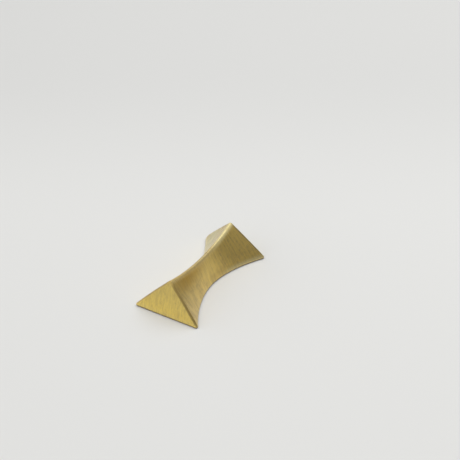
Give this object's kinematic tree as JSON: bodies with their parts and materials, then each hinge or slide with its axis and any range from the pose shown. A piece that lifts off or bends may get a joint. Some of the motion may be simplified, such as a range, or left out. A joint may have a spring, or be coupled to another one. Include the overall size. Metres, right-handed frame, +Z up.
{
  "type": "chopstick rest",
  "caption": "Solid brass chopstick rest with two peaked, flared ends and a ridge that dips to a low saddle between them.",
  "frame": {"origin": "on the underside, under the middle of the saddle", "axes": "+X along the rest from peak to peak, +Y across it, +Z up from the underside"},
  "size_m": [0.045, 0.0238, 0.0127],
  "materials": {
    "brass": "cast brass, brushed to a satin under a thin film of clear wax"
  },
  "bodies": {
    "root": {"rest_body": "brass"}
  },
  "joints": []
}
